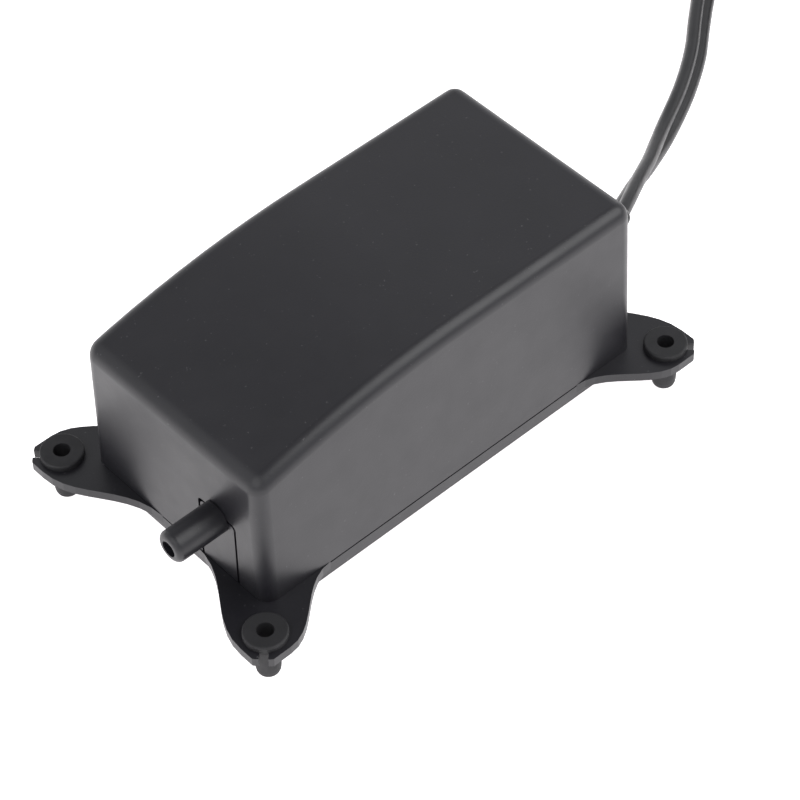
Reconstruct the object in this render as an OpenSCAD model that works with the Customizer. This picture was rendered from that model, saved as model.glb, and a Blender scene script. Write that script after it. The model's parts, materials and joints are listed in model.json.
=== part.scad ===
// Small diaphragm air pump for an aquarium: a drafted box cover on a base plate with four
// slotted ears, each holding a rubber foot, with an electromagnet, a swinging magnet arm,
// a rubber diaphragm and a two-flap valve head inside, and a flat twin mains lead.
// Millimetres. X is across, Y runs from the nozzle end (-) to the cord end (+), Z is up.
// The origin is the centre of the four foot holes, on the plane that the feet stand on.

/* [Cover] */
// Length of the cover at its lower edge
cover_l = 70; // [68:0.5:72]
// Width of the cover at its lower edge
cover_w = 37.2; // [36.5:0.1:38]
// Height of the cover at the cord end, above the seam
rear_h = 28.2; // [27:0.1:30]
// Height of the cover at the nozzle end, above the seam
front_h = 23.1; // [22.8:0.1:25]
// Where the top starts to curve down towards the nozzle end
arc_y = 3.4; // [0:0.2:8]
// Draft of the cover's sides, in degrees
draft = 1; // [0.5:0.1:1.2]
// Wall thickness of the cover
wall = 1.8; // [1.6:0.1:1.9]
// Radius of the cover's outer edges
edge_r = 2.2; // [1.9:0.1:2.6]

/* [Base] */
// Height of the seam between cover and base above the floor
seam_z = 7.5; // [7:0.1:9]
// Thickness of the base plate
plate_t = 2.5; // [2.4:0.1:2.8]
// Thickness of the ears
ear_t = 1.5; // [1.2:0.1:1.6]
// Distance between the foot holes across the width
foot_dx = 44; // [43.6:0.2:44.8]
// Distance between the foot holes along the length
foot_dy = 76.2; // [76:0.2:77]
// Width of the slot that lets a foot into its ear
slot_w = 1.3; // [1:0.1:1.8]

/* [Feet] */
// Diameter of a foot's top flange
flange_d = 6.4; // [5.8:0.1:6.6]
// Diameter of the hole down through a foot
foot_bore = 2.5; // [2:0.1:2.6]

/* [Nozzle] */
// Outer diameter of the outlet nozzle
nozzle_d = 4.85; // [4.45:0.05:4.9]
// Length of the nozzle outside the cover
nozzle_l = 8.3; // [7:0.1:12]
// Height of the nozzle above the seam
nozzle_h = 10.8; // [10.6:0.1:11]
// Distance of the nozzle from the middle plane
nozzle_x = 9.1; // [9.05:0.05:9.25]

/* [Motion] */
// Distance of the arm's pivot from the middle, towards the nozzle end
pivot_y = 28.9; // [28.7:0.1:29]
// Height of the arm's middle above the seam
arm_h = 11.8; // [11.6:0.1:12]

/* [Hidden] */

$fn = 48;
half_w = cover_w / 2;
half_l = cover_l / 2;
taper = tan(draft);
base_z = seam_z - plate_t;
drop = rear_h - front_h;
arc_r = (pow(arc_y + half_l, 2) + drop * drop) / (2 * drop);
foot_x = foot_dx / 2;
foot_y = foot_dy / 2;
black = "#26272b";
rubber = "#1c1c1f";
steel = "#a9abad";

// Pump axis: the nozzle, the head, the diaphragm and the arm share this height
axis_z = seam_z + nozzle_h;
arm_z = seam_z + arm_h;

// Radius of the nozzle's mouth, and where its shoulder clears the drafted cover
lip_r = 0.9;
nozzle_y = -half_l + (nozzle_h - 3) * taper - 0.01;

// Valve stack, from the arm outwards along +X
clamp_x = 3.8;
flange_x = 5;
valve_x = 6;
gasket_x = 7.4;
head_x = 7.9;
head_end = 16.1;
pump_y = -19;
head_half = 9.7;
port_dy = 4.2;
flap_t = 0.5;
flap_w = 3.2;
flap_h = 6.2;
flap_top = axis_z + 3.1;
cap_screw = 8.3;

// Electromagnet
core_y = 9.7;
core_end = 28.5;
core_half = 15;
core_z = arm_z - 5;
core_t = 10;
leg_w = 8;
side_leg = 4;
yoke = 4.5;
core_bolt_x = 12.5;
core_bolt_y = 26;

// Screws that hold the cover
boss_x = 14.5;
boss_y = 31.2;

// Mains lead
cord_w = 4.5;
cord_t = 2.3;
exit_x = 3;
exit_z = 10.4;
coil_x = -24;
coil_y = 149;
coil_r = 25;
coil_low = 0.6;
layer = 2.4;
plug_y = coil_y + 18;
plug_x = coil_x - 4.7;
plug_z = 15.7;

// Bent tail of the strain relief
relief_path = [[3, 35.9, 10.4], [2.9, 38, 10.4], [2.6, 41, 10.2], [1.9, 44.2, 9.8],
    [0.6, 47.6, 9.2], [-0.9, 51, 8.7]];
// The lead from the strain relief down to the floor and on to the coil
cord_path = [[-0.9, 51, 8.7], [-2.5, 54.3, 8], [-5.8, 60.3, 6.2], [-8.6, 65.7, 4.3],
    [-11.3, 70.6, 2.9], [-13.7, 75.2, 2.2], [-16.9, 81.6, 2.2], [-19.7, 86.4, 2.1],
    [-23.2, 91.6, 2.1], [-27.6, 97, 2.1], [-32, 102.6, 2], [-36.8, 109.4, 1.8],
    [-41.2, 117, 1.6], [-45, 125.4, 1.5], [-48.4, 134, 1.4], [-50.6, 142, 1.6],
    [-51.3, 149, 1.8]];
// The last stretch, off the top of the coil to the plug
lead_path = [[-46.7, 149, 9], [-46.3, 153.2, 9.8], [-44.2, 158, 11.2], [-41.2, 161.7, 12.8],
    [-37.7, 164.6, 14.2], [-33.5, 166.4, 15.3], [-28.7, 167, 15.7]];

function lerp(a, b, t) = a + (b - a) * t;
function bezier(a, b, c, d, t) =
    pow(1 - t, 3) * a + 3 * pow(1 - t, 2) * t * b + 3 * (1 - t) * t * t * c + t * t * t * d;
function unit(v) = v / norm(v);
// Outside height of the cover above the seam at a given y
function top_h(y) =
    y > arc_y ? rear_h : rear_h - arc_r + sqrt(arc_r * arc_r - pow(arc_y - y, 2));

// ---------- shapes shared by several parts ----------

// Rounded rectangle about its own centre
module rounded_rect(w, h, r) {
    square([w - 2 * r, h], center = true);
    square([w, h - 2 * r], center = true);
    for (x = [-1, 1], y = [-1, 1])
        translate([x * (w / 2 - r), y * (h / 2 - r)])
            circle(r);
}

// Cylinder along X from x0 to x1
module rod_x(x0, x1, r, y, z) {
    translate([x0, y, z])
        rotate([0, 90, 0])
            cylinder(r = r, h = x1 - x0);
}

// Cylinder along Y from y0 to y1
module rod_y(y0, y1, r, x, z) {
    translate([x, y0, z])
        rotate([-90, 0, 0])
            cylinder(r = r, h = y1 - y0);
}

// Box from one corner to the opposite one
module block(low, high) {
    translate(low)
        cube(high - low);
}

// Tube swept along a route, with the ring's width and thickness at its start and end
module sweep(route, width, thick, sides = 12) {
    last = len(route) - 1;
    rings = [for (i = [0:last])
        let (ahead = unit(route[min(i + 1, last)] - route[max(i - 1, 0)]),
            side = unit(cross([0, 0, 1], ahead)),
            up = cross(ahead, side),
            w = lerp(width[0], width[1], i / last) / 2,
            h = lerp(thick[0], thick[1], i / last) / 2)
            [for (k = [0:sides - 1])
                route[i] + side * w * cos(360 * k / sides) + up * h * sin(360 * k / sides)]];
    polyhedron(
        points = [for (ring = rings, p = ring) p],
        faces = concat(
            [[for (k = [0:sides - 1]) k]],
            [for (i = [0:last - 1], k = [0:sides - 1])
                [i * sides + k, (i + 1) * sides + k,
                    (i + 1) * sides + (k + 1) % sides, i * sides + (k + 1) % sides]],
            [[for (k = [sides - 1:-1:0]) last * sides + k]]));
}

// Pan-head screw pointing down, with the underside of its head at the origin
module screw(r, l, head_r, head_h) {
    translate([0, 0, -l])
        cylinder(r = r, h = l);
    difference() {
        cylinder(r = head_r, h = head_h);
        for (a = [0, 90])
            rotate(a)
                translate([-head_r * 0.6, -0.25, head_h - 0.5])
                    cube([head_r * 1.2, 0.5, 1]);
    }
}

// ---------- cover ----------

// Solid form of the cover, drawn in by inset, with its lower edge on the seam
module cover_form(inset, r, steps) {
    hull() {
        for (side = [-1, 1], end = [-1, 1])
            translate([side * (half_w - inset - r), end * (half_l - inset - r), 0])
                cylinder(r = r, h = 0.01, $fn = 32);
        for (side = [-1, 1], i = [0:steps]) {
            y = lerp(-half_l, arc_y, i / steps);
            z = top_h(y) - inset - r;
            near = -half_l + inset + z * taper + r;
            translate([side * (half_w - inset - z * taper - r), max(y, near), z])
                sphere(r, $fn = 24);
        }
        for (side = [-1, 1]) {
            z = rear_h - inset - r;
            translate([side * (half_w - inset - z * taper - r),
                half_l - inset - z * taper - r, z])
                sphere(r, $fn = 24);
        }
    }
}

// Outline of the slot in the nozzle end, wider by gap than the tab that fills it
module tab_outline(gap) {
    w = 7 + 2 * gap;
    h = nozzle_h + 0.4 + gap;
    r = 0.8;
    translate([-w / 2, -1])
        square([w, h + 1 - r]);
    translate([r - w / 2, -1])
        square([w - 2 * r, h + 1]);
    for (side = [-1, 1])
        translate([side * (w / 2 - r), h - r])
            circle(r);
}

module cover() {
    color(black)
        difference() {
            translate([0, 0, seam_z])
                union() {
                    difference() {
                        cover_form(0, edge_r, 8);
                        translate([0, 0, -0.01])
                            cover_form(wall, 0.6, 6);
                    }
                    intersection() {
                        cover_form(0.5, edge_r, 3);
                        for (x = [-boss_x, boss_x], y = [-boss_y, boss_y])
                            translate([x, y, 0])
                                cylinder(r = 2.2, h = rear_h);
                    }
                }
            for (x = [-boss_x, boss_x], y = [-boss_y, boss_y])
                translate([x, y, seam_z - 1])
                    cylinder(r = 1.15, h = 11);
            translate([nozzle_x, -half_l + wall + 0.4, seam_z])
                rotate([90, 0, 0])
                    linear_extrude(wall + 1)
                        tab_outline(0.4);
            rod_y(-half_l - 1, -half_l + wall + 0.4, nozzle_d / 2 - 0.25, nozzle_x, axis_z);
            rod_y(half_l - wall - 0.6, half_l + 1, 2.95, exit_x, exit_z);
            block([exit_x - 2.95, half_l - wall - 0.6, seam_z - 1],
                [exit_x + 2.95, half_l + 1, exit_z]);
        }
}

// ---------- base plate with its ears ----------

// One quarter of the plate with its ear, as seen from above
module ear_quarter() {
    ear_x = foot_x + 3.9;
    ear_y = foot_y + 4;
    tip = 1.8;
    side = [for (t = [0:0.1:1])
        [bezier(half_w, half_w, ear_x, ear_x, t), bezier(23.5, 29, 32, 37, t)]];
    end = [for (t = [0:0.1:1])
        [bezier(21.5, 14.5, 11.5, 3.5, t), bezier(ear_y, ear_y, half_l, half_l, t)]];
    polygon(concat([[0, 0], [half_w, 0]], side,
        [[ear_x, ear_y - tip - 0.3], [ear_x - 0.2, ear_y - tip]],
        [[ear_x - tip, ear_y - 0.2], [ear_x - tip - 0.3, ear_y]], end, [[0, half_l]]));
}

module ear_sheet() {
    for (x = [0, 1], y = [0, 1])
        mirror([x, 0])
            mirror([0, y])
                difference() {
                    ear_quarter();
                    translate([foot_x, foot_y])
                        rotate(45)
                            union() {
                                translate([0, -slot_w / 2])
                                    square([12, slot_w]);
                                polygon([[4.6, -slot_w / 2], [7, -2], [7, 2], [4.6, slot_w / 2]]);
                            }
                }
}

filter_x = -7;
filter_y = -9;

module base() {
    color(black)
        difference() {
            union() {
                translate([0, 0, base_z])
                    linear_extrude(plate_t)
                        rounded_rect(cover_w, cover_l, edge_r);
                translate([0, 0, seam_z - ear_t])
                    linear_extrude(ear_t)
                        ear_sheet();
                // ring that carries the air filter
                translate([filter_x, filter_y, seam_z - 1])
                    cylinder(r = 8.4, h = 2.5);
                // posts and rails under the core
                for (side = [-1, 1]) {
                    translate([side * core_bolt_x, core_bolt_y, seam_z - 1])
                        cylinder(r = 2.4, h = core_z - seam_z + 1);
                    block([side * 13 - 0.8, core_y + 1, seam_z - 1],
                        [side * 13 + 0.8, core_bolt_y, core_z]);
                }
                // seat of the cord clamp
                block([exit_x - 6.2, 26.5, seam_z - 1], [exit_x + 6.2, 29.5, exit_z - cord_t / 2]);
                // ribs that place the cover
                for (y = [-22, 2])
                    block([-16.65, y, seam_z - 1], [-15.65, y + 8, seam_z + 1.5]);
                block([15.65, -2, seam_z - 1], [16.65, 6, seam_z + 1.5]);
                block([-11, -33.05, seam_z - 1], [-5, -32.05, seam_z + 1.5]);
                block([-11, 32.05, seam_z - 1], [-3, 33.05, seam_z + 1.5]);
            }
            // shadow groove under the cover's edge
            translate([0, 0, seam_z - 0.25])
                linear_extrude(1)
                    difference() {
                        rounded_rect(cover_w, cover_l, edge_r);
                        rounded_rect(cover_w - 0.9, cover_l - 0.9, edge_r - 0.45);
                    }
            for (x = [-foot_x, foot_x], y = [-foot_y, foot_y])
                translate([x, y, 0])
                    cylinder(r = 1.6, h = 20);
            for (x = [-boss_x, boss_x], y = [-boss_y, boss_y])
                translate([x, y, base_z - 1]) {
                    cylinder(r = 1.25, h = 8);
                    cylinder(r = 2.3, h = 2.4);
                }
            translate([filter_x, filter_y, base_z - 1])
                cylinder(r = 7, h = 3.9);
            for (i = [0:6])
                translate([filter_x, filter_y, base_z])
                    rotate(i * 60)
                        translate([i == 6 ? 0 : 3.6, 0, 0])
                            cylinder(r = 0.9, h = 8);
            for (side = [-1, 1])
                translate([side * core_bolt_x, core_bolt_y, seam_z - 1])
                    cylinder(r = 1.25, h = 20);
            for (side = [-1, 1])
                translate([exit_x + side * 4.4, 28, seam_z - 1])
                    cylinder(r = 0.85, h = 8);
            translate([0, -23.6, seam_z - 1.8])
                cylinder(r = 0.95, h = 4);
        }
}

// Rubber foot: a flange on the ear, a neck in its slot and a tapered dome below
module foot(x, y) {
    color(rubber)
        translate([foot_x * x, foot_y * y, 0])
            rotate_extrude()
                difference() {
                    union() {
                        translate([0, seam_z])
                            square([flange_d / 2 - 0.3, 1]);
                        translate([0, seam_z])
                            square([flange_d / 2, 0.7]);
                        translate([flange_d / 2 - 0.3, seam_z + 0.7])
                            circle(0.3);
                        translate([0, 3])
                            square([1.5, seam_z - 3]);
                        polygon([[0, 0], [1.45, 0], [1.6, 0.14], [1.72, 0.45], [1.8, 1],
                            [1.84, 1.8], [1.9, seam_z - ear_t - 0.6], [1.75, seam_z - ear_t],
                            [0, seam_z - ear_t]]);
                    }
                    translate([-1, -1])
                        square([1 + foot_bore / 2, 20]);
                }
}
module foot_front_left() { foot(-1, -1); }
module foot_front_right() { foot(1, -1); }
module foot_rear_left() { foot(-1, 1); }
module foot_rear_right() { foot(1, 1); }

module cover_screws() {
    color(steel)
        for (x = [-boss_x, boss_x], y = [-boss_y, boss_y])
            translate([x, y, base_z + 1.4])
                mirror([0, 0, 1])
                    screw(1.1, 9, 2.1, 1.2);
}

module inlet_filter() {
    color("#8f9489")
        translate([filter_x, filter_y, base_z + 1.3])
            cylinder(r = 6.8, h = 1.5);
}

module filter_cap() {
    color(black)
        translate([filter_x, filter_y, base_z])
            difference() {
                cylinder(r = 6.9, h = 1.3);
                for (i = [-2:2])
                    translate([-4, i * 2 - 0.5, -1])
                        cube([8, 1, 4]);
            }
}

// ---------- valve head ----------

module pump_head() {
    color(black)
        difference() {
            union() {
                block([head_x, pump_y - head_half, seam_z],
                    [head_end, pump_y + head_half, axis_z + head_half]);
                // neck and tab that fill the slot in the cover
                rod_y(nozzle_y - 1, pump_y - head_half, nozzle_d / 2 - 0.4, nozzle_x, axis_z);
                translate([nozzle_x, -half_l + wall, seam_z])
                    rotate([90 - draft, 0, 0])
                        linear_extrude(wall)
                            intersection() {
                                tab_outline(0);
                                translate([-10, 0])
                                    square([20, 20]);
                            }
                // nozzle with a shoulder against the cover and a rounded mouth
                translate([nozzle_x, nozzle_y, axis_z])
                    rotate([90, 0, 0])
                        rotate_extrude() {
                            square([nozzle_d / 2, nozzle_l - lip_r]);
                            square([nozzle_d / 2 - lip_r, nozzle_l]);
                            translate([nozzle_d / 2 - lip_r, nozzle_l - lip_r])
                                circle(lip_r);
                        }
            }
            // air way through the nozzle, narrower behind the wall
            rod_y(nozzle_y - nozzle_l - 1, -half_l + 2, 1.25, nozzle_x, axis_z);
            rod_y(-half_l + 1.9, pump_y - 6, 0.8, nozzle_x, axis_z);
            // outlet and inlet chambers, open towards the valve plate
            for (side = [-1, 1])
                block([head_x - 1, pump_y + side * port_dy - 3.2, axis_z - 6],
                    [head_end - 1.5, pump_y + side * port_dy + 3.2, axis_z + 6]);
            rod_x(head_end - 3, head_end + 1, 1.5, pump_y + port_dy, axis_z);
            for (y = [-1, 1], z = [-1, 1])
                rod_x(head_x - 1, head_x + 3.5, 0.8, pump_y + y * cap_screw,
                    axis_z + z * cap_screw);
        }
}

// Square plate of the valve stack with its four screw holes
module stack_plate(x0, x1, r) {
    difference() {
        block([x0, pump_y - head_half, axis_z - head_half],
            [x1, pump_y + head_half, axis_z + head_half]);
        for (y = [-1, 1], z = [-1, 1])
            rod_x(x0 - 1, x1 + 1, r, pump_y + y * cap_screw, axis_z + z * cap_screw);
    }
}

module head_gasket() {
    color("#5b2f2a")
        difference() {
            stack_plate(gasket_x, head_x, 0.95);
            for (side = [-1, 1])
                block([gasket_x - 1, pump_y + side * port_dy - 3.2, axis_z - 6],
                    [head_x + 1, pump_y + side * port_dy + 3.2, axis_z + 6]);
        }
}

module valve_plate() {
    color("#d9d9d4")
        difference() {
            stack_plate(valve_x, gasket_x, 0.95);
            for (side = [-1, 1])
                rod_x(valve_x - 1, gasket_x + 1, 1.1, pump_y + side * port_dy, axis_z);
        }
}

// Rubber flap that hangs from its top edge over a port
module flap(x, y) {
    color("#7a2f28")
        translate([x, y - flap_w / 2, flap_top - flap_h])
            cube([flap_t, flap_w, flap_h]);
}
module inlet_flap() { flap(valve_x - 0.05 - flap_t, pump_y + port_dy); }
module outlet_flap() { flap(gasket_x + 0.05, pump_y - port_dy); }

module diaphragm() {
    color(rubber)
        translate([0, pump_y, axis_z])
            rotate([0, 90, 0])
                rotate_extrude()
                    polygon([[1.05, 1.5], [5.2, 1.5], [6, 1.9], [7.4, clamp_x + 0.2],
                        [8.1, flange_x], [8.9, flange_x], [8.9, valve_x], [7.4, valve_x],
                        [6.7, clamp_x + 0.7], [5.3, 2.5], [1.05, 2.5]]);
}

module diaphragm_clamp() {
    color("#d9d9d4")
        difference() {
            stack_plate(clamp_x, flange_x, 0.95);
            rod_x(clamp_x - 1, flange_x + 1, 8.2, pump_y, axis_z);
        }
    color("#d9d9d4")
        difference() {
            stack_plate(flange_x, valve_x, 0.95);
            rod_x(flange_x - 1, valve_x + 1, 9, pump_y, axis_z);
        }
}

module head_screws() {
    color(steel)
        for (y = [-1, 1], z = [-1, 1])
            translate([clamp_x, pump_y + y * cap_screw, axis_z + z * cap_screw])
                rotate([0, -90, 0])
                    screw(0.75, 7, 1.3, 1);
}

// ---------- swinging arm ----------

module diaphragm_washers() {
    color(steel)
        for (x = [1, 2.5])
            difference() {
                rod_x(x, x + 0.5, 2.8, pump_y, axis_z);
                rod_x(x - 1, x + 1, 1.02, pump_y, axis_z);
            }
}

module diaphragm_screw() {
    color(steel)
        translate([-1, pump_y, axis_z])
            rotate([0, -90, 0])
                screw(1, 4.4, 1.9, 1.1);
}

module swing_arm() {
    color("#c9c8c2")
        difference() {
            union() {
                block([-1, -pivot_y, arm_z - 4], [1, 2, arm_z + 4]);
                translate([0, -pivot_y, arm_z - 5.2])
                    cylinder(r = 2.2, h = 10.4);
                // holder of the magnet
                block([-6, 1.4, arm_z - 5.8], [6, 7, arm_z + 5.8]);
            }
            block([-4.6, 3, arm_z - 4.6], [4.6, 9, arm_z + 4.6]);
            translate([0, -pivot_y, arm_z - 10])
                cylinder(r = 1.05, h = 20);
            rod_x(-2, 2, 1.05, pump_y, axis_z);
        }
}

module arm_magnet() {
    color("#3d3d40")
        block([-4.5, 3, arm_z - 4.5], [4.5, 8, arm_z + 4.5]);
}

module pivot_bracket() {
    half = 2.65;
    color(black)
        difference() {
            union() {
                block([-half, -32.7, seam_z], [half, -31.5, arm_z + 8]);
                block([-half, -32, seam_z], [half, -22, seam_z + 1.6]);
                for (z = [arm_z - 8, arm_z + 5.5])
                    block([-half, -32, z], [half, -26.5, z + 2.5]);
            }
            translate([0, -pivot_y, arm_z - 9])
                cylinder(r = 1.95, h = 20);
            translate([0, -23.6, 0])
                cylinder(r = 1.05, h = 14);
        }
}

module bracket_screw() {
    color(steel)
        translate([0, -23.6, seam_z + 1.6])
            screw(0.9, 3.2, 1.5, 1.1);
}

module pivot_bushes() {
    color(rubber)
        for (z = [arm_z - 8, arm_z + 5.5])
            translate([0, -pivot_y, z])
                difference() {
                    cylinder(r = 1.93, h = 2.5);
                    translate([0, 0, -1])
                        cylinder(r = 1.02, h = 5);
                }
}

module pivot_pin() {
    color(steel)
        translate([0, -pivot_y, arm_z - 8])
            cylinder(r = 1, h = 16.4);
}

// ---------- electromagnet ----------

// E-shaped lamination, drawn in by d all round
module lamination(d) {
    span = core_end - core_y - 2 * d;
    for (x = [-core_half, core_half - side_leg])
        translate([x + d, core_y + d])
            square([side_leg - 2 * d, span]);
    translate([-leg_w / 2 + d, core_y + d])
        square([leg_w - 2 * d, span]);
    translate([-core_half + d, core_end - yoke + d])
        square([2 * core_half - 2 * d, yoke - 2 * d]);
}

module laminated_core() {
    color("#4c4a48")
        difference() {
            union() {
                translate([0, 0, core_z])
                    linear_extrude(core_t)
                        lamination(0.12);
                for (i = [0:core_t - 1])
                    translate([0, 0, core_z + i])
                        linear_extrude(0.85)
                            lamination(0);
            }
            for (side = [-1, 1])
                translate([side * core_bolt_x, core_bolt_y, core_z - 1])
                    cylinder(r = 1.4, h = 14);
        }
}

module core_screws() {
    color(steel)
        for (side = [-1, 1])
            translate([side * core_bolt_x, core_bolt_y, core_z + core_t])
                screw(1.2, 15, 2.3, 1.4);
}

// Ring of rectangular section that lies round the middle leg
module leg_ring(y0, y1, inner, outer, r) {
    translate([0, y1, arm_z])
        rotate([90, 0, 0])
            linear_extrude(y1 - y0)
                difference() {
                    rounded_rect(leg_w + 2 * outer, core_t + 2 * outer, r);
                    square([leg_w + 2 * inner, core_t + 2 * inner], center = true);
                }
}

module coil_bobbin() {
    color("#e4e1d6") {
        leg_ring(10.2, 23.8, 0.15, 0.95, 0.4);
        leg_ring(10.2, 11.1, 0.9, 6.4, 1);
        leg_ring(22.9, 23.8, 0.9, 6.4, 1);
    }
}

module coil_winding() {
    color("#b0602c")
        leg_ring(11.15, 22.85, 1, 5.4, 2.5);
}

module coil_tape() {
    color("#d8b33a")
        translate([0, 22.6, arm_z])
            rotate([90, 0, 0])
                linear_extrude(11.2)
                    difference() {
                        rounded_rect(leg_w + 11.4, core_t + 11.4, 2.8);
                        rounded_rect(leg_w + 10.9, core_t + 10.9, 2.55);
                    }
}

module coil_terminals() {
    color("#c9b458")
        for (side = [-1, 1])
            rod_y(23.8, 25.4, 0.4, side * 8, 9.9);
}

// ---------- wiring inside ----------

module inner_leads() {
    color(black)
        sweep([[exit_x, 33, exit_z], [exit_x, 31, exit_z], [exit_x, 26, exit_z]],
            [cord_w, cord_w], [cord_t, cord_t]);
    color("#3a4a8c")
        for (side = [-1, 1])
            sweep([[exit_x + side * 1.2, 26, exit_z], [exit_x + side * 0.9, 25.3, 10.2],
                [exit_x + side * 1.3, 24.85, 9.95], [side * 6.8, 24.8, 9.9]],
                [0.8, 0.8], [0.8, 0.8], 8);
}

module splice_sleeves() {
    color("#20242c")
        for (side = [-1, 1])
            translate([side * 6.2, 24.8, 9.9])
                rotate([0, 90, 0])
                    difference() {
                        cylinder(r = 1, h = 2.4, center = true);
                        cylinder(r = 0.62, h = 5, center = true);
                    }
}

module cord_clamp() {
    color("#d9d9d4")
        difference() {
            block([exit_x - 6, 26.6, exit_z + cord_t / 2],
                [exit_x + 6, 29.4, exit_z + cord_t / 2 + 1.2]);
            for (side = [-1, 1])
                translate([exit_x + side * 4.4, 28, 0])
                    cylinder(r = 0.95, h = 20);
        }
}

module clamp_screws() {
    color(steel)
        for (side = [-1, 1])
            translate([exit_x + side * 4.4, 28, exit_z + cord_t / 2 + 1.2])
                screw(0.8, 5.6, 1.4, 1);
}

// ---------- mains lead ----------

module strain_relief() {
    color(rubber) {
        difference() {
            intersection() {
                union() {
                    rod_y(half_l - 3.2, half_l - 2, 3.9, exit_x, exit_z);
                    rod_y(half_l - 2.1, half_l + 0.1, 2.85, exit_x, exit_z);
                    block([exit_x - 2.85, half_l - 2.1, seam_z],
                        [exit_x + 2.85, half_l + 0.1, exit_z]);
                    rod_y(half_l + 0.05, half_l + 1.2, 3.7, exit_x, exit_z);
                }
                block([exit_x - 5, 25, seam_z + 0.05], [exit_x + 5, 45, 20]);
            }
            block([exit_x - 2.4, 25, exit_z - 1.3], [exit_x + 2.4, half_l - 1.9, exit_z + 1.3]);
        }
        sweep(relief_path, [6.6, 5.4], [5.6, 3.4]);
    }
}

module mains_cord() {
    color(black)
        sweep(cord_path, [cord_w, cord_w], [3.4, 2.4]);
}

module plug_lead() {
    color(black)
        sweep(lead_path, [cord_w, cord_w], [2.4, 2.4]);
}

module cord_coil() {
    color(black)
        translate([coil_x, coil_y, coil_low])
            rotate_extrude()
                translate([coil_r, 2 * layer])
                    rounded_rect(2 * cord_w + 0.4, 4 * layer, 1.2);
}

module coil_tie() {
    color("#2b2b2e")
        translate([coil_x, coil_y - coil_r, coil_low + 2 * layer])
            rotate([90, 0, 90])
                linear_extrude(4, center = true)
                    difference() {
                        rounded_rect(2 * cord_w + 2, 4 * layer + 1.2, 1.5);
                        rounded_rect(2 * cord_w + 1, 4 * layer + 0.1, 1.2);
                    }
}

module plug_body() {
    color(black)
        translate([plug_x, plug_y, plug_z]) {
            sweep([[0, 0, 0], [4, 0, 0], [8, 0, 0], [10.2, 0, 0]], [5.4, 8.4], [3.8, 7]);
            difference() {
                translate([10, 0, 0])
                    rotate([90, 0, 90])
                        linear_extrude(22)
                            rounded_rect(17, 11, 3);
                for (side = [-1, 1])
                    translate([20, side * 6.35 - 0.78, -3.2])
                        cube([13, 1.56, 6.4]);
            }
        }
}

module plug_blades() {
    color("#b9a66a")
        for (side = [-1, 1])
            translate([plug_x + 21, plug_y + side * 6.35, plug_z])
                difference() {
                    translate([0, -0.75, -3.15])
                        cube([26, 1.5, 6.3]);
                    translate([23, 2, 0])
                        rotate([90, 0, 0])
                            cylinder(r = 1.5, h = 4);
                }
}

cover();
base();
foot_front_left();
foot_front_right();
foot_rear_left();
foot_rear_right();
cover_screws();
inlet_filter();
filter_cap();
pump_head();
head_gasket();
valve_plate();
inlet_flap();
outlet_flap();
diaphragm();
diaphragm_clamp();
head_screws();
diaphragm_washers();
diaphragm_screw();
swing_arm();
arm_magnet();
pivot_bracket();
bracket_screw();
pivot_bushes();
pivot_pin();
laminated_core();
core_screws();
coil_bobbin();
coil_winding();
coil_tape();
coil_terminals();
inner_leads();
splice_sleeves();
cord_clamp();
clamp_screws();
strain_relief();
mains_cord();
cord_coil();
coil_tie();
plug_lead();
plug_body();
plug_blades();
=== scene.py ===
"""Looks of a small aquarium air pump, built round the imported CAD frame.

Metres. +Z is up, +Y runs from the nozzle end to the lead's end, and the feet stand on z = 0.
Sizes are written in millimetres and turned into metres by mm().
"""
import json
import math

import bmesh
import bpy
from mathutils import Matrix, Vector


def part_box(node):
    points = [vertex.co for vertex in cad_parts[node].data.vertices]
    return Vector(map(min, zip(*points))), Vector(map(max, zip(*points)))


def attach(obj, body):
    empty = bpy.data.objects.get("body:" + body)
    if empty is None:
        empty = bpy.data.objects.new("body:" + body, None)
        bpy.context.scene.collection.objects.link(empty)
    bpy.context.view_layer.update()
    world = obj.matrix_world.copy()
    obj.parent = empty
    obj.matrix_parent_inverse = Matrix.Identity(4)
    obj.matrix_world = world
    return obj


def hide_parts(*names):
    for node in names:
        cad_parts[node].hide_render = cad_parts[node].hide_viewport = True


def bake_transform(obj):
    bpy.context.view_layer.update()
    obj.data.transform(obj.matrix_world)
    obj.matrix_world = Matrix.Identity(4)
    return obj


MM = 0.001

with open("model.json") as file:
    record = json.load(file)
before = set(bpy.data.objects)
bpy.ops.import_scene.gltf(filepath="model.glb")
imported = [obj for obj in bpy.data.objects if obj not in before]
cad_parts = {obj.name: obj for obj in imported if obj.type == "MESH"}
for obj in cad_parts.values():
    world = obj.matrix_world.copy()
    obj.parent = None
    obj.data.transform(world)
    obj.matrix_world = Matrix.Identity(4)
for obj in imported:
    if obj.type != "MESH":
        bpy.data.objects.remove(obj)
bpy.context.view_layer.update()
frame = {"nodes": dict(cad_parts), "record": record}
nodes = frame["nodes"]


def mm(*values):
    """Millimetres to metres: a Vector from three numbers, or one number."""
    if len(values) == 1:
        return values[0] * MM
    return Vector(values) * MM


# ---------- camera ----------

# Metres, degrees, and millimetres of lens and sensor
CAMERA_PLACE = (0.224438, -0.186839, 0.330960)
CAMERA_AZIMUTH = 49.319
CAMERA_ELEVATION = 47.957
CAMERA_ROLL = -2.243
LENS = 137.35
SENSOR = 36.0


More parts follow.
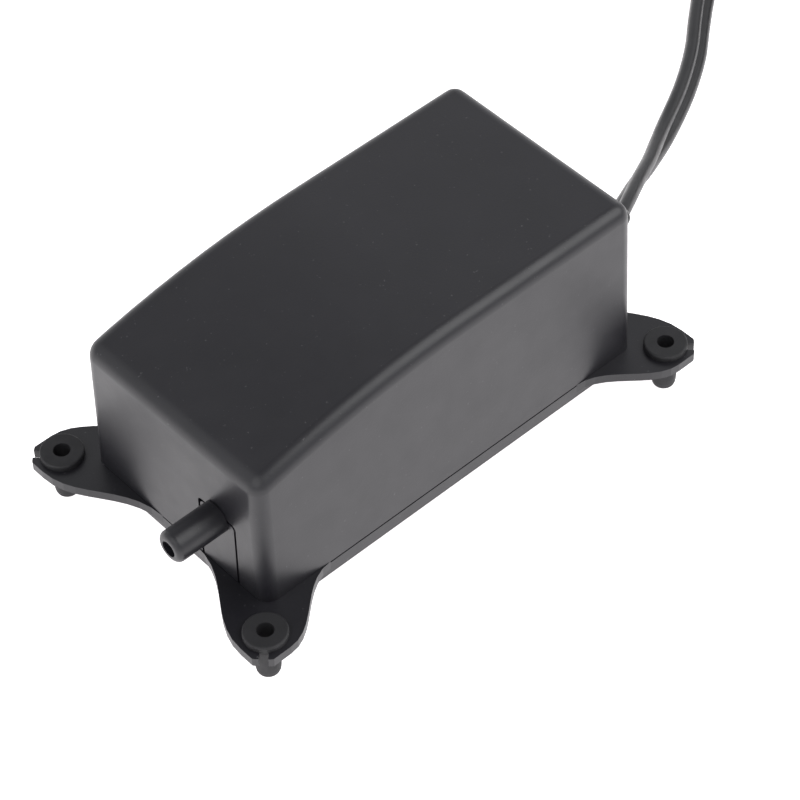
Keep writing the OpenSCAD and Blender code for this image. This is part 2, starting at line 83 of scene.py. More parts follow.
def make_camera():
    """Looks down on the nozzle end's corner, as a hand-held product view."""
    turn = math.radians(CAMERA_AZIMUTH)
    rise = math.radians(CAMERA_ELEVATION)
    roll = math.radians(CAMERA_ROLL)
    back = Vector((math.sin(turn) * math.cos(rise), -math.cos(turn) * math.cos(rise),
                   math.sin(rise)))
    side = Vector((math.cos(turn), math.sin(turn), 0))
    over = back.cross(side)
    right = math.cos(roll) * side + math.sin(roll) * over
    up = math.cos(roll) * over - math.sin(roll) * side
    camera = bpy.data.objects.new("camera", bpy.data.cameras.new("camera"))
    axes = Matrix((right, up, back)).transposed().to_4x4()
    camera.matrix_world = Matrix.Translation(CAMERA_PLACE) @ axes
    camera.data.lens = LENS
    camera.data.sensor_width = SENSOR
    camera.data.clip_start = 0.02
    camera.data.clip_end = 20
    bpy.context.scene.collection.objects.link(camera)
    bpy.context.scene.camera = camera


make_camera()

# ---------- materials ----------


class Paint:
    """A procedural material: a Principled shader and short calls that add nodes to it."""

    def __init__(self, name, roughness=0.5, metallic=0.0, **sockets):
        self.material = bpy.data.materials.new(name)
        self.material.use_nodes = True
        self.tree = self.material.node_tree
        self.shader = self.tree.nodes["Principled BSDF"]
        self.coords = self.tree.nodes.new("ShaderNodeTexCoord").outputs["Object"]
        self.shader.inputs["Roughness"].default_value = roughness
        self.shader.inputs["Metallic"].default_value = metallic
        for socket, value in sockets.items():
            self.shader.inputs[socket.replace("_", " ")].default_value = value

    def link(self, source, target):
        self.tree.links.new(source, target)

    def stretched(self, stretch):
        """Object coordinates, scaled by stretch on each axis."""
        mapping = self.tree.nodes.new("ShaderNodeMapping")
        mapping.inputs["Scale"].default_value = stretch
        self.link(self.coords, mapping.inputs["Vector"])
        return mapping.outputs["Vector"]

    def noise(self, size, detail=3.0, stretch=(1, 1, 1), seed=0.0):
        """Noise with features of about that size in millimetres."""
        node = self.tree.nodes.new("ShaderNodeTexNoise")
        node.noise_dimensions = "4D"
        node.inputs["W"].default_value = seed
        node.inputs["Scale"].default_value = 1 / (size * MM)
        node.inputs["Detail"].default_value = detail
        self.link(self.stretched(stretch), node.inputs["Vector"])
        return node.outputs["Fac"]

    def cells(self, size, seed=0.0):
        """Distance to the nearest of scattered points that far apart in millimetres."""
        node = self.tree.nodes.new("ShaderNodeTexVoronoi")
        node.voronoi_dimensions = "4D"
        node.inputs["W"].default_value = seed
        node.inputs["Scale"].default_value = 1 / (size * MM)
        self.link(self.coords, node.inputs["Vector"])
        return node.outputs["Distance"]

    def stripes(self, size, axis, distortion=0.0):
        """Sine stripes of that period in millimetres across an axis."""
        node = self.tree.nodes.new("ShaderNodeTexWave")
        node.wave_type = "BANDS"
        node.bands_direction = axis
        node.inputs["Scale"].default_value = math.tau / 20 / (size * MM)
        node.inputs["Distortion"].default_value = distortion
        self.link(self.coords, node.inputs["Vector"])
        return node.outputs["Fac"]

    def ramp(self, source, start, end, low, high):
        """Maps source from start..end to low..high, and holds it there outside."""
        node = self.tree.nodes.new("ShaderNodeMapRange")
        for socket, value in zip(("From Min", "From Max", "To Min", "To Max"),
                                 (start, end, low, high)):
            node.inputs[socket].default_value = value
        self.link(source, node.inputs["Value"])
        return node.outputs["Result"]

    def mix(self, factor, first, second):
        """Colour that goes from first to second as factor goes from 0 to 1."""
        node = self.tree.nodes.new("ShaderNodeMix")
        node.data_type = "RGBA"
        self.link(factor, node.inputs["Factor"])
        for slot, colour in (("A", first), ("B", second)):
            socket = next(s for s in node.inputs if s.name == slot and s.type == "RGBA")
            if isinstance(colour, tuple):
                socket.default_value = (*colour, 1)
            else:
                self.link(colour, socket)
        return next(s for s in node.outputs if s.type == "RGBA")

    def colour(self, source):
        self.link(source, self.shader.inputs["Base Color"])

    def roughness(self, source):
        self.link(source, self.shader.inputs["Roughness"])

    def bump(self, *layers):
        """Stacks layers of (height, depth in millimetres, strength) on the normal."""
        normal = None
        for height, depth, strength in layers:
            node = self.tree.nodes.new("ShaderNodeBump")
            node.inputs["Distance"].default_value = depth * MM
            node.inputs["Strength"].default_value = strength
            self.link(height, node.inputs["Height"])
            if normal:
                self.link(normal, node.inputs["Normal"])
            normal = node.outputs["Normal"]
        self.link(normal, self.shader.inputs["Normal"])


def moulded(name, dark, light, smooth, rough, grain=0.3, depth=0.012, dust=0.0, **sockets):
    """Moulded plastic: two close tones, duller patches, a fine grain and, with dust, pale specks."""
    paint = Paint(name, **sockets)
    tone = paint.ramp(paint.noise(9, 4), 0.3, 0.7, 0, 1)
    skin = paint.mix(tone, dark, light)
    if dust:
        specks = paint.ramp(paint.noise(0.45, 1, seed=7), 0.72, 0.80, 0, dust)
        skin = paint.mix(specks, skin, (0.12, 0.12, 0.125))
    paint.colour(skin)
    paint.roughness(paint.ramp(paint.noise(4, 5, seed=3), 0.3, 0.7, smooth, rough))
    paint.bump((paint.noise(22, 1, seed=5), 0.25, 0.12), (paint.noise(grain, 2), depth, 0.6))
    return paint.material


def soft_rubber(name, dark, light, roughness, grain=0.25, depth=0.02, **sockets):
    """Rubber or soft vinyl: matt, with a bloom in patches and a fine tooth."""
    paint = Paint(name, roughness=roughness, **sockets)
    paint.colour(paint.mix(paint.ramp(paint.noise(3, 5), 0.35, 0.7, 0, 1), dark, light))
    paint.roughness(paint.ramp(paint.noise(1.5, 4, seed=2), 0.3, 0.7,
                               roughness - 0.07, roughness + 0.07))
    paint.bump((paint.noise(grain, 3, seed=4), depth, 0.5))
    return paint.material


def metal(name, dark, light, smooth, rough, brushed=(1, 1, 1), depth=0.004):
    """Plated or drawn metal: fine lines along one way, and a few dull spots."""
    paint = Paint(name, metallic=1.0)
    lines = paint.noise(0.25, 3, stretch=brushed)
    paint.colour(paint.mix(paint.ramp(paint.noise(1.6, 4, seed=1), 0.35, 0.7, 0, 1), dark, light))
    paint.roughness(paint.ramp(lines, 0.3, 0.7, smooth, rough))
    paint.bump((lines, depth, 0.5))
    return paint.material


def laminations():
    """Stacked silicon steel with varnish in the gaps."""
    paint = Paint("laminations", metallic=1.0)
    sheets = paint.stripes(0.5, "Z")
    paint.colour(paint.mix(paint.ramp(sheets, 0.1, 0.5, 0, 1), (0.035, 0.03, 0.028),
                           (0.20, 0.19, 0.18)))
    paint.roughness(paint.ramp(paint.noise(1.2, 4), 0.3, 0.7, 0.35, 0.6))
    paint.bump((sheets, 0.05, 0.7), (paint.noise(0.2, 2), 0.01, 0.5))
    return paint.material


def copper():
    """Layers of enamelled wire wound side by side."""
    paint = Paint("enamelled_copper", metallic=1.0, Coat_Weight=0.6, Coat_Roughness=0.12)
    wires = paint.stripes(0.16, "Y", 0.4)
    paint.colour(paint.mix(wires, (0.16, 0.04, 0.015), (0.72, 0.27, 0.11)))
    paint.roughness(paint.ramp(paint.noise(0.8, 3), 0.3, 0.7, 0.22, 0.38))
    paint.bump((wires, 0.06, 0.8))
    return paint.material


def felt():
    """Pressed fibre of the air filter."""
    paint = Paint("filter_felt", roughness=0.95, Sheen_Weight=0.4)
    fibres = paint.noise(0.35, 6, stretch=(1, 2.2, 1))
    paint.colour(paint.mix(paint.ramp(fibres, 0.35, 0.65, 0, 1), (0.13, 0.14, 0.12),
                           (0.42, 0.44, 0.40)))
    paint.bump((fibres, 0.15, 0.9))
    return paint.material


def woven_strap():
    """Hook-and-loop strap: short loops in rows."""
    paint = Paint("woven_strap", roughness=0.9, Sheen_Weight=0.3)
    loops = paint.cells(0.45)
    rows = paint.stripes(0.6, "X", 0.3)
    paint.colour(paint.mix(paint.ramp(loops, 0.1, 0.7, 1, 0), (0.008, 0.008, 0.009),
                           (0.045, 0.045, 0.05)))
    paint.bump((rows, 0.1, 0.5), (loops, 0.15, 0.9))
    return paint.material


def wrapped_tape():
    """Clear yellow polyester tape with small creases."""
    paint = Paint("polyester_tape", roughness=0.25, Coat_Weight=0.5)
    creases = paint.noise(2.2, 2, stretch=(1, 3.5, 1))
    paint.colour(paint.mix(paint.ramp(creases, 0.35, 0.7, 0, 1), (0.52, 0.30, 0.045),
                           (0.66, 0.43, 0.10)))
    paint.roughness(paint.ramp(creases, 0.3, 0.7, 0.18, 0.38))
    paint.bump((creases, 0.08, 0.6))
    return paint.material


MATERIALS = {
    "casing_plastic": moulded("casing_abs", (0.0066, 0.0064, 0.0088), (0.0088, 0.0084, 0.0112),
                              0.35, 0.42, depth=0.02, dust=0.3),
    "inner_plastic": moulded("inner_abs", (0.012, 0.012, 0.013), (0.02, 0.02, 0.021), 0.42, 0.58),
    "rubber_feet": soft_rubber("foot_rubber", (0.006, 0.006, 0.0072), (0.0095, 0.0092, 0.011), 0.66),
    "cord_pvc": soft_rubber("lead_vinyl", (0.0085, 0.0085, 0.0095), (0.013, 0.013, 0.0145), 0.36,
                            grain=0.4, depth=0.01),
    "white_plastic": moulded("natural_nylon", (0.60, 0.59, 0.55), (0.69, 0.68, 0.64), 0.38, 0.5,
                             Subsurface_Weight=0.15, Subsurface_Scale=0.001),
    "bobbin_plastic": moulded("cream_nylon", (0.56, 0.50, 0.38), (0.64, 0.58, 0.46), 0.35, 0.5),
    "filter_felt": felt(),
    "gasket_rubber": soft_rubber("gasket_fibre", (0.09, 0.022, 0.016), (0.13, 0.035, 0.025), 0.8),
    "flap_rubber": soft_rubber("silicone_flap", (0.20, 0.035, 0.025), (0.26, 0.05, 0.035), 0.45,
                               depth=0.008),
    "diaphragm_rubber": soft_rubber("diaphragm_rubber", (0.008, 0.008, 0.009),
                                    (0.013, 0.013, 0.014), 0.5),
    "zinc_steel": metal("zinc_plate", (0.40, 0.41, 0.43), (0.58, 0.59, 0.60), 0.22, 0.4),
    "ferrite": soft_rubber("sintered_ferrite", (0.035, 0.035, 0.037), (0.06, 0.06, 0.062), 0.6,
                           grain=0.15, depth=0.03, Metallic=0.6),
    "silicon_steel": laminations(),
    "copper_wire": copper(),
    "tape": wrapped_tape(),
    "terminal_brass": metal("tinned_pin", (0.50, 0.46, 0.36), (0.62, 0.58, 0.47), 0.2, 0.35),
    "lead_insulation": soft_rubber("core_insulation", (0.010, 0.012, 0.022),
                                   (0.016, 0.02, 0.038), 0.4),
    "sleeve": soft_rubber("shrunk_sleeve", (0.007, 0.007, 0.008), (0.012, 0.012, 0.013), 0.33),
    "tie": woven_strap(),
    "plug_brass": metal("nickel_blade", (0.50, 0.42, 0.24), (0.66, 0.56, 0.34), 0.2, 0.38,
                        brushed=(0.08, 1, 1)),
}

for part in frame["record"]["subparts"]:
    data = nodes[part["node"]].data
    data.materials.clear()
    data.materials.append(MATERIALS[part["material_slot"]])


# ---------- mesh helpers ----------


def make_piece(name, points, faces, slot):
    """A mesh object in the row frame that has the look of a record's material slot."""
    mesh = bpy.data.meshes.new(name)
    mesh.from_pydata(points, [], faces)
    piece = bpy.data.objects.new(name, mesh)
    bpy.context.scene.collection.objects.link(piece)
    if slot:
        mesh.materials.append(MATERIALS[slot])
    return piece


def shade(piece, angle=35):
    """Smooth shading that stays sharp across edges above that angle, in degrees."""
    for face in piece.data.polygons:
        face.use_smooth = True
    piece.data.set_sharp_from_angle(angle=math.radians(angle))


def face_out(piece):
    """Turns every face outwards."""
    work = bmesh.new()
    work.from_mesh(piece.data)
    bmesh.ops.recalc_face_normals(work, faces=work.faces)
    work.to_mesh(piece.data)
    work.free()


def loft(name, rings, slot, closed=False, angle=35):
    """Skins rings of points; capped at both ends, or joined end to end if closed."""
    count, sides = len(rings), len(rings[0])
    points = [point for ring in rings for point in ring]
    spans = count if closed else count - 1
    faces = [(i * sides + k, (i + 1) % count * sides + k,
              (i + 1) % count * sides + (k + 1) % sides, i * sides + (k + 1) % sides)
             for i in range(spans) for k in range(sides)]
    if not closed:
        faces.append(tuple(range(sides)))
        faces.append(tuple((count - 1) * sides + k for k in reversed(range(sides))))
    piece = make_piece(name, points, faces, slot)
    face_out(piece)
    shade(piece, angle)
    return piece


def settle(piece):
    """Turns a piece's modifiers into its mesh."""
    evaluated = piece.evaluated_get(bpy.context.evaluated_depsgraph_get())
    mesh = bpy.data.meshes.new_from_object(evaluated)
    piece.modifiers.clear()
    piece.data = mesh


def combine(piece, other, operation):
    """Exact boolean with another object, which is used up."""
    modifier = piece.modifiers.new("combine", "BOOLEAN")
    modifier.solver = "EXACT"
    modifier.operation = operation
    modifier.object = other
    bpy.context.view_layer.update()
    settle(piece)
    bpy.data.objects.remove(other)


def soften(piece, width, segments=2, angle=40):
    """Breaks hard edges by a small round and keeps flat faces flat."""
    modifier = piece.modifiers.new("edge_break", "BEVEL")
    modifier.limit_method = "ANGLE"
    modifier.angle_limit = math.radians(angle)
    modifier.width = mm(width)
    modifier.segments = segments
    modifier.miter_outer = "MITER_ARC"
    modifier.harden_normals = False
    shading = piece.modifiers.new("flat_faces", "WEIGHTED_NORMAL")
    shading.keep_sharp = True


def box_points(low, high):
    """Corners and faces of a box."""
    points = [Vector((x, y, z)) for x in (low.x, high.x) for y in (low.y, high.y)
              for z in (low.z, high.z)]
    return points, [(0, 1, 3, 2), (4, 6, 7, 5), (0, 4, 5, 1), (2, 3, 7, 6), (0, 2, 6, 4),
                    (1, 5, 7, 3)]


def cylinder(name, centre, axis, radius, length, sides=48):
    """A capped cylinder from centre along axis, used as a cutter or a boss."""
    turn = axis.to_track_quat("Z", "Y").to_matrix()
    rings = [[centre + turn @ Vector((radius * math.cos(math.tau * k / sides),
                                      radius * math.sin(math.tau * k / sides), z))
              for k in range(sides)] for z in (0, length)]
    return loft(name, rings, None)


def smooth_route(points, step):
    """Points about one step apart on a smooth curve through the given ones, of any dimension."""
    route = []
    last = len(points) - 1
    for i in range(last):
        p0, p1, p2, p3 = (points[max(0, i - 1)], points[i], points[i + 1],
                          points[min(last, i + 2)])
        span = math.dist(p1[:3], p2[:3])
        before = max(math.dist(p0[:3], p1[:3]), 1e-9)
        after = max(math.dist(p2[:3], p3[:3]), 1e-9)
        pieces = max(1, round(span / step))
        for j in range(pieces):
            t = j / pieces
            h00, h10 = 2 * t ** 3 - 3 * t ** 2 + 1, t ** 3 - 2 * t ** 2 + t
            h01, h11 = 3 * t ** 2 - 2 * t ** 3, t ** 3 - t ** 2
            place = []
            for a, b, c, d in zip(p0, p1, p2, p3):
                start = (c - a) / (before + span) * span if i else c - b
                end = (d - b) / (span + after) * span if i + 1 < last else c - b
                place.append(h00 * b + h10 * start + h01 * c + h11 * end)
            route.append(tuple(place))
    route.append(tuple(points[-1]))
    return route


def axes_along(route):
    """For each point of a route: its place, the side and the up direction across it."""
    frames = []
    for i, here in enumerate(route):
        ahead = Vector(route[min(i + 1, len(route) - 1)][:3])
        ahead -= Vector(route[max(i - 1, 0)][:3])
        ahead.normalize()
        side = ahead.cross(Vector((0, 0, 1))).normalized()
        frames.append((Vector(here[:3]), side, side.cross(ahead)))
    return frames


def superellipse(width, height, power, count):
    """Points of a rounded rectangle: power 2 is an ellipse, more is squarer."""
    ring = []
    for k in range(count):
        c, s = math.cos(math.tau * k / count), math.sin(math.tau * k / count)
        ring.append((width / 2 * math.copysign(abs(c) ** (2 / power), c),
                     height / 2 * math.copysign(abs(s) ** (2 / power), s)))
    return ring


# ---------- mains lead ----------

STRAND = 2.3
STRAND_APART = 2.2
WEB = 0.9

# x, y, z and roll in degrees: along the strain relief, down to the floor and to the coil
RELIEF_ROUTE = [(3, 35.1, 10.4, 0), (2.95, 38, 10.4, 3), (2.6, 41, 10.2, 10),
                (1.9, 44.2, 9.8, 20), (0.6, 47.6, 9.2, 32), (-0.9, 51, 8.7, 44)]
CORD_ROUTE = [(-2.5, 54.3, 8, 55), (-5.8, 60.3, 6.2, 66), (-8.6, 65.7, 4.3, 79),
              (-11.3, 70.6, 2.9, 97), (-13.7, 75.2, 2.2, 111), (-16.9, 81.6, 2.2, 117),
              (-19.7, 86.4, 2.1, 121), (-23.2, 91.6, 2.1, 126), (-27.6, 97, 2.1, 129),
              (-32, 102.6, 2, 132),
              (-36.8, 109.4, 1.8, 144), (-41.2, 117, 1.6, 158), (-45, 125.4, 1.5, 170),
              (-48.4, 134, 1.4, 177), (-50.6, 142, 1.6, 180)]
LEAD_ROUTE = [(-46.3, 153.2, 9.8, 180), (-44.2, 158, 11.2, 180), (-41.2, 161.7, 12.8, 180),
              (-37.7, 164.6, 14.2, 180), (-33.5, 166.4, 15.3, 180), (-28.7, 167, 15.7, 180),
              (-25, 167, 15.7, 180)]
COIL_X, COIL_Y = -24.0, 149.0
COIL_OUT, COIL_IN = 27.3, 22.7
COIL_LOW = 1.8
LAYER = 2.4
TURNS = 6
STEPS_PER_TURN = 36
# (turn it begins at, change of radius, change of height): out and in, and up a layer
COIL_MOVES = [(0.80, COIL_IN - COIL_OUT, 0), (1.66, 0, LAYER), (2.52, COIL_OUT - COIL_IN, 0),
              (3.38, 0, LAYER), (4.24, COIL_IN - COIL_OUT, 0), (5.10, 0, LAYER)]
MOVE_SPAN = 0.14


def ease(t):
    """Smooth step from 0 to 1 as t goes from 0 to 1."""
    t = min(1, max(0, t))
    return t * t * (3 - 2 * t)


def coil_route():
    """Turns wound clockwise from above: side by side in two columns, and layer on layer."""
    route = []
    for i in range(TURNS * STEPS_PER_TURN + 1):
        turn = i / STEPS_PER_TURN
        radius, height = COIL_OUT, COIL_LOW
        for start, outward, upward in COIL_MOVES:
            radius += outward * ease((turn - start) / MOVE_SPAN)
            height += upward * ease((turn - start) / MOVE_SPAN)
        angle = math.pi - math.tau * turn
        route.append((COIL_X + radius * math.cos(angle), COIL_Y + radius * math.sin(angle),
                      height, 180))
    return route


def twin_section():
    """Two round strands side by side with a thin web between them."""
    r, half = STRAND / 2, STRAND_APART / 2
    dip = math.degrees(math.asin(WEB / 2 / r))
    count = 12
    ring = []
    for sign in (1, -1):
        for k in range(count + 1):
            angle = math.radians(-180 + dip + (360 - 2 * dip) * k / count)
            if sign < 0:
                angle += math.pi
            ring.append((sign * half + r * math.cos(angle), r * math.sin(angle)))
    return ring


def in_metres(controls):
    """Route points with their place in metres and their roll as it was."""
    return [tuple(v * MM for v in p[:3]) + (p[3],) for p in controls]


def across_route(axes, roll, section):
    """A flat section in millimetres, set across one place of a route and rolled in degrees."""
    place, side, up = axes
    roll = math.radians(roll)
    across = side * math.cos(roll) + up * math.sin(roll)
    over = up * math.cos(roll) - side * math.sin(roll)
    return [place + across * mm(a) + over * mm(b) for a, b in section]


def nodes_top(node):
    """Highest z of a CAD node, in millimetres."""
    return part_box(node)[1].z / MM


def make_cord():
    """The whole lead in one piece, from the casing to the plug."""
    controls = RELIEF_ROUTE + CORD_ROUTE + coil_route() + LEAD_ROUTE
    route = smooth_route(in_metres(controls), mm(1.3))
    section = twin_section()
    rings = [across_route(axes, point[3], section)
             for axes, point in zip(axes_along(route), route)]
    piece = loft("lead", rings, "cord_pvc", angle=60)
    length = sum(math.dist(a[:3], b[:3]) for a, b in zip(route, route[1:]))
    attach(piece, "root")
    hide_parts("mains_cord", "cord_coil", "plug_lead")
    return piece, [point[:3] for point in route], length


def make_relief():
    """Strain relief: a grommet in the casing's wall and a slotted tail that tapers to the lead."""
    wall_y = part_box("cover")[1].y / MM
    collars = [(31.85, 7.8, 7.8, 2), (32.95, 7.8, 7.8, 2), (33.0, 5.8, 5.8, 2),
               (wall_y, 5.8, 5.8, 2), (wall_y + 0.1, 7.0, 7.0, 2), (wall_y + 0.3, 7.4, 7.4, 2),
               (wall_y + 1.0, 7.4, 7.4, 2), (wall_y + 1.25, 7.1, 7.1, 2),
               (wall_y + 1.35, 6.6, 5.6, 2.4)]
    x, z = RELIEF_ROUTE[0][0], RELIEF_ROUTE[0][2]
    floor_z = nodes_top("base") + 0.05
    count = 48
    rings = []
    for y, w, h, power in collars:
        rings.append([mm(x + a, y, max(z + b, floor_z))
                      for a, b in superellipse(w, h, power, count)])
    tail = smooth_route(in_metres(RELIEF_ROUTE[1:]), mm(0.28))
    last = len(tail) - 1
    for i, (axes, point) in enumerate(zip(axes_along(tail), tail)):
        t = i / last
        groove = ease(math.sin(math.tau * 7 * t) * 2.2 - 0.6) * (0.75 - 0.3 * t) * (t < 0.93)
        end = 0.5 * ease((t - 0.96) / 0.04)
        w, h = 6.6 - 1.3 * t - groove - end, 5.6 - 2.3 * t - groove - end
        rings.append(across_route(axes, point[3], superellipse(w, h, 2.4, count)))
    piece = loft("strain_relief_boot", rings, "cord_pvc", angle=50)
    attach(piece, "root")
    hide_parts("strain_relief")
    return piece


def make_plug():
    """Moulded two-blade plug: a waisted grip with ribs, and a neck that tapers to the lead."""
    low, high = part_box("plug_body")
    x0, x1 = low.x / MM, high.x / MM
    y, z = (low.y + high.y) / 2 / MM, (low.z + high.z) / 2 / MM
    w, h = (high.y - low.y) / MM, (high.z - low.z) / MM
    # distance along the plug, width, height and squareness
    stations = [(0, 5.1, 3.2, 2.3), (0.3, 5.5, 3.7, 2.3), (3, 6.2, 4.6, 2.4),
                (6.5, 7.4, 5.8, 2.5), (8.4, 8.8, 6.9, 2.6), (9.6, 11.5, 8.4, 2.8),
                (10.4, 14.4, 9.7, 3.2), (11.6, 16.2, 10.5, 3.8), (13.2, w, h, 4.4),
                (16.0, w - 0.5, h - 0.3, 4.6), (19.5, w - 1.0, h - 0.6, 4.8),
                (23, w - 0.9, h - 0.5, 4.8), (26.5, w - 0.2, h, 5), (29.6, w, h, 5.2),
                (30.6, w, h, 5.2), (31.3, w - 0.25, h - 0.25, 5.2),
                (31.75, w - 0.9, h - 0.9, 5), (x1 - x0, w - 1.8, h - 1.8, 4.8)]
    route = smooth_route(stations, 0.35)
    count = 64
    rings = []
    for along, width, height, power in route:
        rib = 0.35 * max(0, math.sin(math.tau * (along - 15.4) / 2.1)) ** 2
        rib *= 15.4 < along < 25.9
        neck = 0.5 * max(0, math.sin(math.tau * (along - 1.5) / 1.6)) * (1.5 < along < 7.9)
        rings.append([mm(x0 + along, y + a, z + b) for a, b in
                      superellipse(width - 2 * rib - neck, height - neck, power, count)])
    piece = loft("plug_grip", rings, "cord_pvc", angle=45)
    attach(piece, "root")
    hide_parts("plug_body")
    return piece


def make_tie():
    """Hook-and-loop strap round the coil, with its end lapped over the outside."""
    low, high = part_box("coil_tie")
    centre_y, centre_z = (low.y + high.y) / 2, (low.z + high.z) / 2
    w, h = (high.y - low.y) / MM, (high.z - low.z) / MM
    count = 72
    start, lap = 28, 16
    strap_t = 0.4
    half_band = (high.x - low.x) / 2
    middle_x = (low.x + high.x) / 2
    rings = []
    total = count + lap
    for i in range(total + 1):
        lift = ease((i - count + 4) / 8)
        outer = superellipse(w - 1.3 + 0.85 * lift, h - 0.8 + 0.2 * lift, 5, count)
        a, b = outer[(i + start) % count]
        a2, b2 = outer[(i + start + 1) % count]
        along = Vector((0, a2 - a, b2 - b)).normalized()
        out = along.cross(Vector((1, 0, 0))).normalized()
        place = Vector((middle_x, centre_y + mm(a), centre_z + mm(b)))
        narrow = 1 - 0.25 * ease((i - total + 3) / 3)
        ring = []
        for u, v in superellipse(2 * half_band / MM * narrow, strap_t, 6, 20):
            ring.append(place + Vector((mm(u), 0, 0)) + out * mm(v))
        rings.append(ring)
    piece = loft("coil_strap", rings, "tie", angle=40)
    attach(piece, "root")
    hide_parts("coil_tie")
    return piece


cord_piece, cord_line, cord_length = make_cord()
relief_piece = make_relief()
plug_piece = make_plug()
tie_piece = make_tie()

# ---------- cover ----------

WALL = 1.8
EDGE_R = 2.2
DRAFT = math.tan(math.radians(1))
FRONT_H = 23.1
ARC_Y = 3.4
NOZZLE = next(m for m in frame["record"]["mounts"] if m["name"] == "outlet_nozzle")
NOZZLE_X, AXIS_Z = NOZZLE["pos_m"][0] / MM, NOZZLE["pos_m"][2] / MM
NOZZLE_R = NOZZLE["dims"]["r_mm"]
TAB_W = 7
TAB_RISE = 0.4
TAB_GAP = 0.4
ARCH_R = NOZZLE_R - 0.25
BOSSES = [(x, y) for x in (-14.5, 14.5) for y in (-31.2, 31.2)]
BOSS_R = 2.2
SCREW_R = 1.15
SCREW_DEPTH = 11
NOTCH_R = 2.95


def cover_solid(name, inset, radius, sink):
    """Closed form of the cover, drawn in by inset, its lower edge let down by sink."""
    low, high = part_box("cover")
    half_w, half_l = high.x / MM - inset, high.y / MM - inset
    seam, rear_h = low.z / MM, (high.z - low.z) / MM
    drop = rear_h - FRONT_H
    reach = ARC_Y + high.y / MM
    arc_r = (reach ** 2 + drop ** 2) / (2 * drop)
    front = -half_l + (FRONT_H - inset) * DRAFT
    steps = 9
    stations = []
    for i in range(steps + 1):
        y = front + (ARC_Y - front) * i / steps
        stations.append((y, rear_h - inset - arc_r + math.sqrt(arc_r ** 2 - (ARC_Y - y) ** 2)))
    stations[0] = (-half_l + stations[0][1] * DRAFT, stations[0][1])
    stations.append((half_l - (rear_h - inset) * DRAFT, rear_h - inset))
    points = [mm(x * (half_w + sink * DRAFT), y * (half_l + sink * DRAFT), seam - sink)
              for y in (-1, 1) for x in (-1, 1)]
    for y, z in stations:
        points += [mm(x * (half_w - z * DRAFT), y, seam + z) for x in (-1, 1)]
    tops = [4 + 2 * i for i in range(len(stations))]
    end = tops[-1]
    faces = [(0, 2, 3, 1), (0, 1, 5, 4), (2, end, end + 1, 3),
             (0, *tops, 2), (1, 3, *[t + 1 for t in reversed(tops)])]
    faces += [(t, t + 1, t + 3, t + 2) for t in tops[:-1]]
    piece = make_piece(name, points, faces, None)
    work = bmesh.new()
    work.from_mesh(piece.data)
    work.verts.ensure_lookup_table()
    bmesh.ops.recalc_face_normals(work, faces=work.faces)
    rims = {frozenset(pair) for t in tops[:-1] for pair in ((t, t + 2), (t + 1, t + 3))}
    rims |= {frozenset(pair) for pair in ((4, 5), (end, end + 1), (0, 4), (1, 5), (2, end),
                                          (3, end + 1))}
    edges = [e for e in work.edges if frozenset(v.index for v in e.verts) in rims]
    bmesh.ops.bevel(work, geom=edges, offset=mm(radius), offset_type="OFFSET", segments=8,
                    profile=0.5, affect="EDGES", clamp_overlap=True)
    work.to_mesh(piece.data)
    work.free()
    return piece


def tab_cutter(seam):
    """Prism through the nozzle end's wall with the outline of the tab and the gap round it."""
    half_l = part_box("cover")[1].y / MM
    w, top, r = TAB_W + 2 * TAB_GAP, AXIS_Z + TAB_RISE + TAB_GAP, 0.8
    outline = [(-w / 2, seam - 2)]
    for side, start in ((-1, 180), (1, 90)):
        for k in range(7):
            angle = math.radians(start - 15 * k)
            outline.append((side * (w / 2 - r) + r * math.cos(angle),
                            top - r + r * math.sin(angle)))
    outline.append((w / 2, seam - 2))
    rings = [[mm(NOZZLE_X + x, y, z) for x, z in outline]
             for y in (-half_l - 2, -half_l + WALL + 0.4)]
    return loft("tab_cutter", rings, None)


def make_cover():
    """Thin-walled cover with its slot for the head's tab and its notch for the lead."""
    low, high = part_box("cover")
    seam, half_l = low.z / MM, high.y / MM
    piece = cover_solid("cover_shell", 0, EDGE_R, 0)
    combine(piece, cover_solid("hollow", WALL, 0.6, 1), "DIFFERENCE")
    top = (high.z - low.z) / MM
    for x, y in BOSSES:
        height = top - 1 if y > 0 else FRONT_H - 0.6
        combine(piece, cylinder("boss", mm(x, y, seam), Vector((0, 0, 1)), mm(BOSS_R),
                                mm(height)), "UNION")
        combine(piece, cylinder("bore", mm(x, y, seam - 1), Vector((0, 0, 1)), mm(SCREW_R),
                                mm(SCREW_DEPTH)), "DIFFERENCE")
    combine(piece, tab_cutter(seam), "DIFFERENCE")
    combine(piece, cylinder("arch", mm(NOZZLE_X, -half_l - 1, AXIS_Z), Vector((0, 1, 0)),
                            mm(ARCH_R), mm(WALL + 1.4), 64), "DIFFERENCE")
    x, z = RELIEF_ROUTE[0][0], RELIEF_ROUTE[0][2]
    combine(piece, cylinder("notch", mm(x, half_l - WALL - 0.6, z), Vector((0, 1, 0)),
                            mm(NOTCH_R), mm(WALL + 1.6)), "DIFFERENCE")
    points, faces = box_points(mm(x - NOTCH_R, half_l - WALL - 0.6, seam - 1),
                               mm(x + NOTCH_R, half_l + 1, z))
    combine(piece, make_piece("notch_foot", points, faces, None), "DIFFERENCE")
    piece.data.materials.clear()
    piece.data.materials.append(MATERIALS["casing_plastic"])
    shade(piece)
    soften(piece, 0.13)
    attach(piece, "root")
    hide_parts("cover")


make_cover()

# ---------- diaphragm ----------


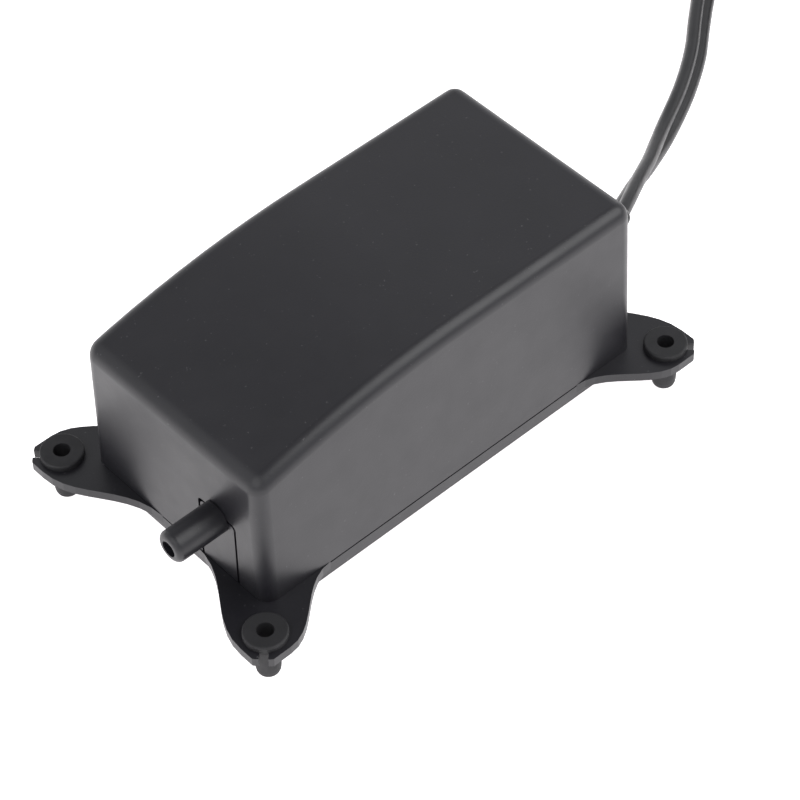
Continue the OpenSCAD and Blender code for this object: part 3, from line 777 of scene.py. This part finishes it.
def make_diaphragm():
    """Rubber disc with its middle set against the arm and its rim in the clamp."""
    low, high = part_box("diaphragm")
    y, z = (low.y + high.y) / 2, (low.z + high.z) / 2
    # radius and x: out along the arm's side to the rim, and back along the chamber's side
    outline = [(1.05, 1.5), (5.2, 1.5), (6, 1.9), (7.4, 4), (8.1, 5), (8.9, 5),
               (8.9, 6), (7.4, 6), (6.7, 4.5), (5.3, 2.5), (1.05, 2.5)]
    sides = 64
    turns = [math.tau * k / sides for k in range(sides)]
    rings = []
    for start, end in zip(outline, outline[1:] + outline[:1]):
        steps = math.ceil(math.dist(start, end) / 0.5)
        for step in range(steps):
            radius, x = (a + (b - a) * step / steps for a, b in zip(start, end))
            rings.append([Vector((mm(x), y + mm(radius) * math.cos(turn),
                                  z + mm(radius) * math.sin(turn))) for turn in turns])
    piece = loft("diaphragm_disc", rings, "diaphragm_rubber", closed=True)
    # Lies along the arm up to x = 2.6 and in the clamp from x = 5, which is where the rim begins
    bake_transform(piece)
    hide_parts("diaphragm")


make_diaphragm()

# ---------- edges of the CAD pieces that show ----------

for name, width in (("base", 0.16), ("pump_head", 0.12)):
    weld = nodes[name].modifiers.new("weld", "WELD")
    weld.merge_threshold = mm(0.002)
    soften(nodes[name], width)

# ---------- stage and light ----------


def make_stage():
    """Plain white floor under the feet."""
    size = 6.0
    points = [Vector((x * size, y * size, 0)) for x, y in ((-1, -1), (1, -1), (1, 1), (-1, 1))]
    floor = make_piece("floor", points, [(0, 1, 2, 3)], None)
    paint = Paint("white_floor", roughness=0.9, Emission_Strength=0.95)
    paint.shader.inputs["Base Color"].default_value = (0.8, 0.8, 0.8, 1)
    paint.shader.inputs["Emission Color"].default_value = (1, 0.965, 0.98, 1)
    floor.data.materials.append(paint.material)


def make_light(name, place, target, size, power):
    """Soft square light at place that faces target."""
    lamp = bpy.data.lights.new(name, "AREA")
    lamp.size = size
    lamp.energy = power
    holder = bpy.data.objects.new(name, lamp)
    holder.location = place
    holder.rotation_euler = (Vector(target) - Vector(place)).to_track_quat("-Z", "Y").to_euler()
    bpy.context.scene.collection.objects.link(holder)


def make_world(sideways, overhead):
    """Pale surround with one strength round the sides and another overhead."""
    world = bpy.data.worlds.new("surround")
    world.use_nodes = True
    tree = world.node_tree
    background = tree.nodes["Background"]
    background.inputs["Color"].default_value = (0.97, 0.975, 1, 1)
    split = tree.nodes.new("ShaderNodeSeparateXYZ")
    tree.links.new(tree.nodes.new("ShaderNodeTexCoord").outputs["Generated"],
                   split.inputs["Vector"])
    fade = tree.nodes.new("ShaderNodeMapRange")
    fade.interpolation_type = "SMOOTHSTEP"
    for socket, value in zip(("From Min", "From Max", "To Min", "To Max"),
                             (0.6, 0.95, sideways, overhead)):
        fade.inputs[socket].default_value = value
    tree.links.new(split.outputs["Z"], fade.inputs["Value"])
    tree.links.new(fade.outputs["Result"], background.inputs["Strength"])
    bpy.context.scene.world = world


make_stage()
make_world(0.9, 0.32)
make_light("key", (0.2, -1.1, 1.2), (0, 0, 0), 1.7, 9)
make_light("fill", (0.7, 0.75, 1.3), (0, 0, 0), 1.3, 15)
bpy.context.scene.view_settings.view_transform = "Standard"
